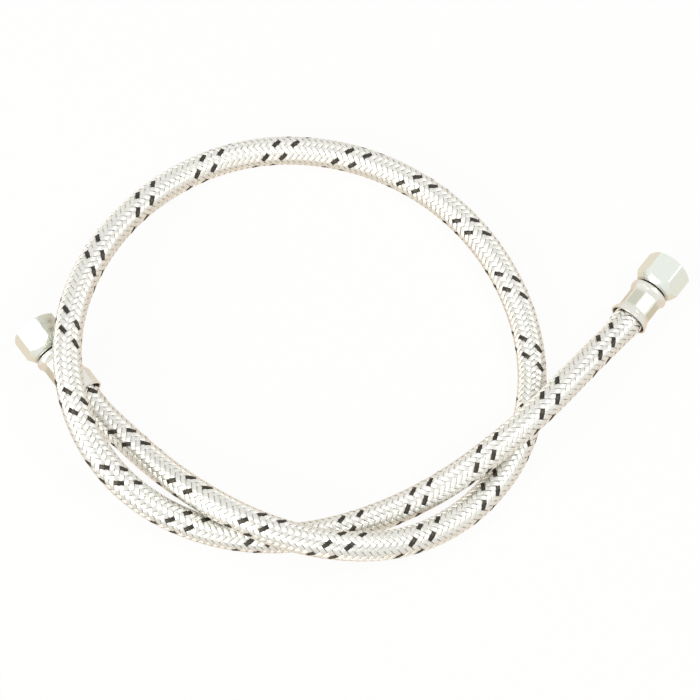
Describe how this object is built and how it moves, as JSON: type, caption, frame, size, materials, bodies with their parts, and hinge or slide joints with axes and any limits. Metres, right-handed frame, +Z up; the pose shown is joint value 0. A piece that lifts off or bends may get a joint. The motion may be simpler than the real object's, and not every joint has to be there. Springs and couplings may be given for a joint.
{
  "type": "burner fuel hose",
  "caption": "Steel-braided fuel hose lying in a loop, with a crimped ferrule, an insert and a hexagon swivel nut on each end.",
  "frame": {"origin": "on the surface that the hose lies on, under the middle of the box round the two end fittings", "axes": "+X from the left fitting to the right one, +Y away from the viewer of the picture, +Z up"},
  "size_m": [0.3028, 0.2071, 0.0316],
  "materials": {
    "braid_steel": "bright woven steel wire with two black tracer bundles",
    "liner_rubber": "black oil-resistant rubber",
    "ferrule_nickel": "bright nickel plate, pressed flats",
    "insert_steel": "turned and zinc plated",
    "nut_zinc": "satin zinc-nickel plate"
  },
  "bodies": {
    "hose_assembly": {"hose_braid": "braid_steel", "hose_liner": "liner_rubber", "left_ferrule": "ferrule_nickel", "left_insert": "insert_steel", "right_ferrule": "ferrule_nickel", "right_insert": "insert_steel"},
    "left_nut": {"left_swivel_nut": "nut_zinc"},
    "right_nut": {"right_swivel_nut": "nut_zinc"}
  },
  "joints": [
    {"name": "left_nut_swivel", "type": "hinge", "parent": "hose_assembly", "child": "left_nut", "pos_m": [-0.13919, -0.00558, 0.01128], "axis": [-0.6047, 0.7937, 0.0664], "continuous": true},
    {"name": "right_nut_swivel", "type": "hinge", "parent": "hose_assembly", "child": "right_nut", "pos_m": [0.13875, 0.02515, 0.00964], "axis": [0.6114, 0.7911, 0.0193], "continuous": true}
  ]
}
